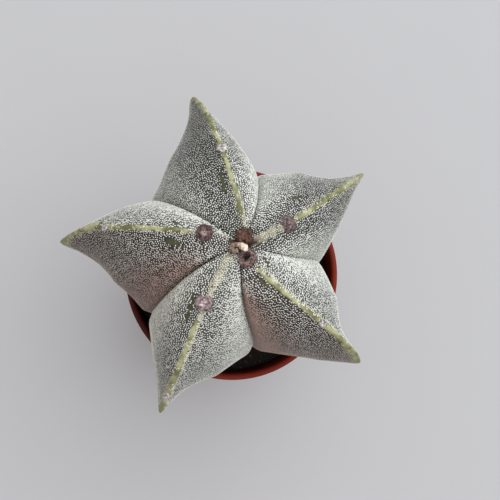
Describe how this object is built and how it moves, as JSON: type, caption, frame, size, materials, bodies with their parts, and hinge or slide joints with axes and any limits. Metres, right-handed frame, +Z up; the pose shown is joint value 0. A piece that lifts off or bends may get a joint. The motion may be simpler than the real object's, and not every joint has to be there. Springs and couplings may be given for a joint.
{
  "type": "potted bishops cap cactus",
  "caption": "Star-shaped ribbed cactus with flecked skin and felt pads along its crests, growing in gritty soil in a small round plastic pot.",
  "frame": {"origin": "middle of the pot's flat underside, on the surface that it stands on", "axes": "+Z up through the pot's axis; +Y and +X are the picture's up and right"},
  "size_m": [0.0729, 0.0758, 0.0967],
  "materials": {
    "pot_plastic": "injection-moulded polypropylene in terracotta red, satin, thin wall",
    "potting_grit": "dark mineral cactus mix of grit and peat, dull and granular",
    "flecked_skin": "firm green cactus skin thickly covered with tiny white wool flecks, dull",
    "crown_felt": "cream plant wool, matted and dull"
  },
  "bodies": {
    "root": {"pot": "pot_plastic", "soil": "potting_grit", "cactus_body": "flecked_skin", "crown_wool": "crown_felt"}
  },
  "joints": []
}
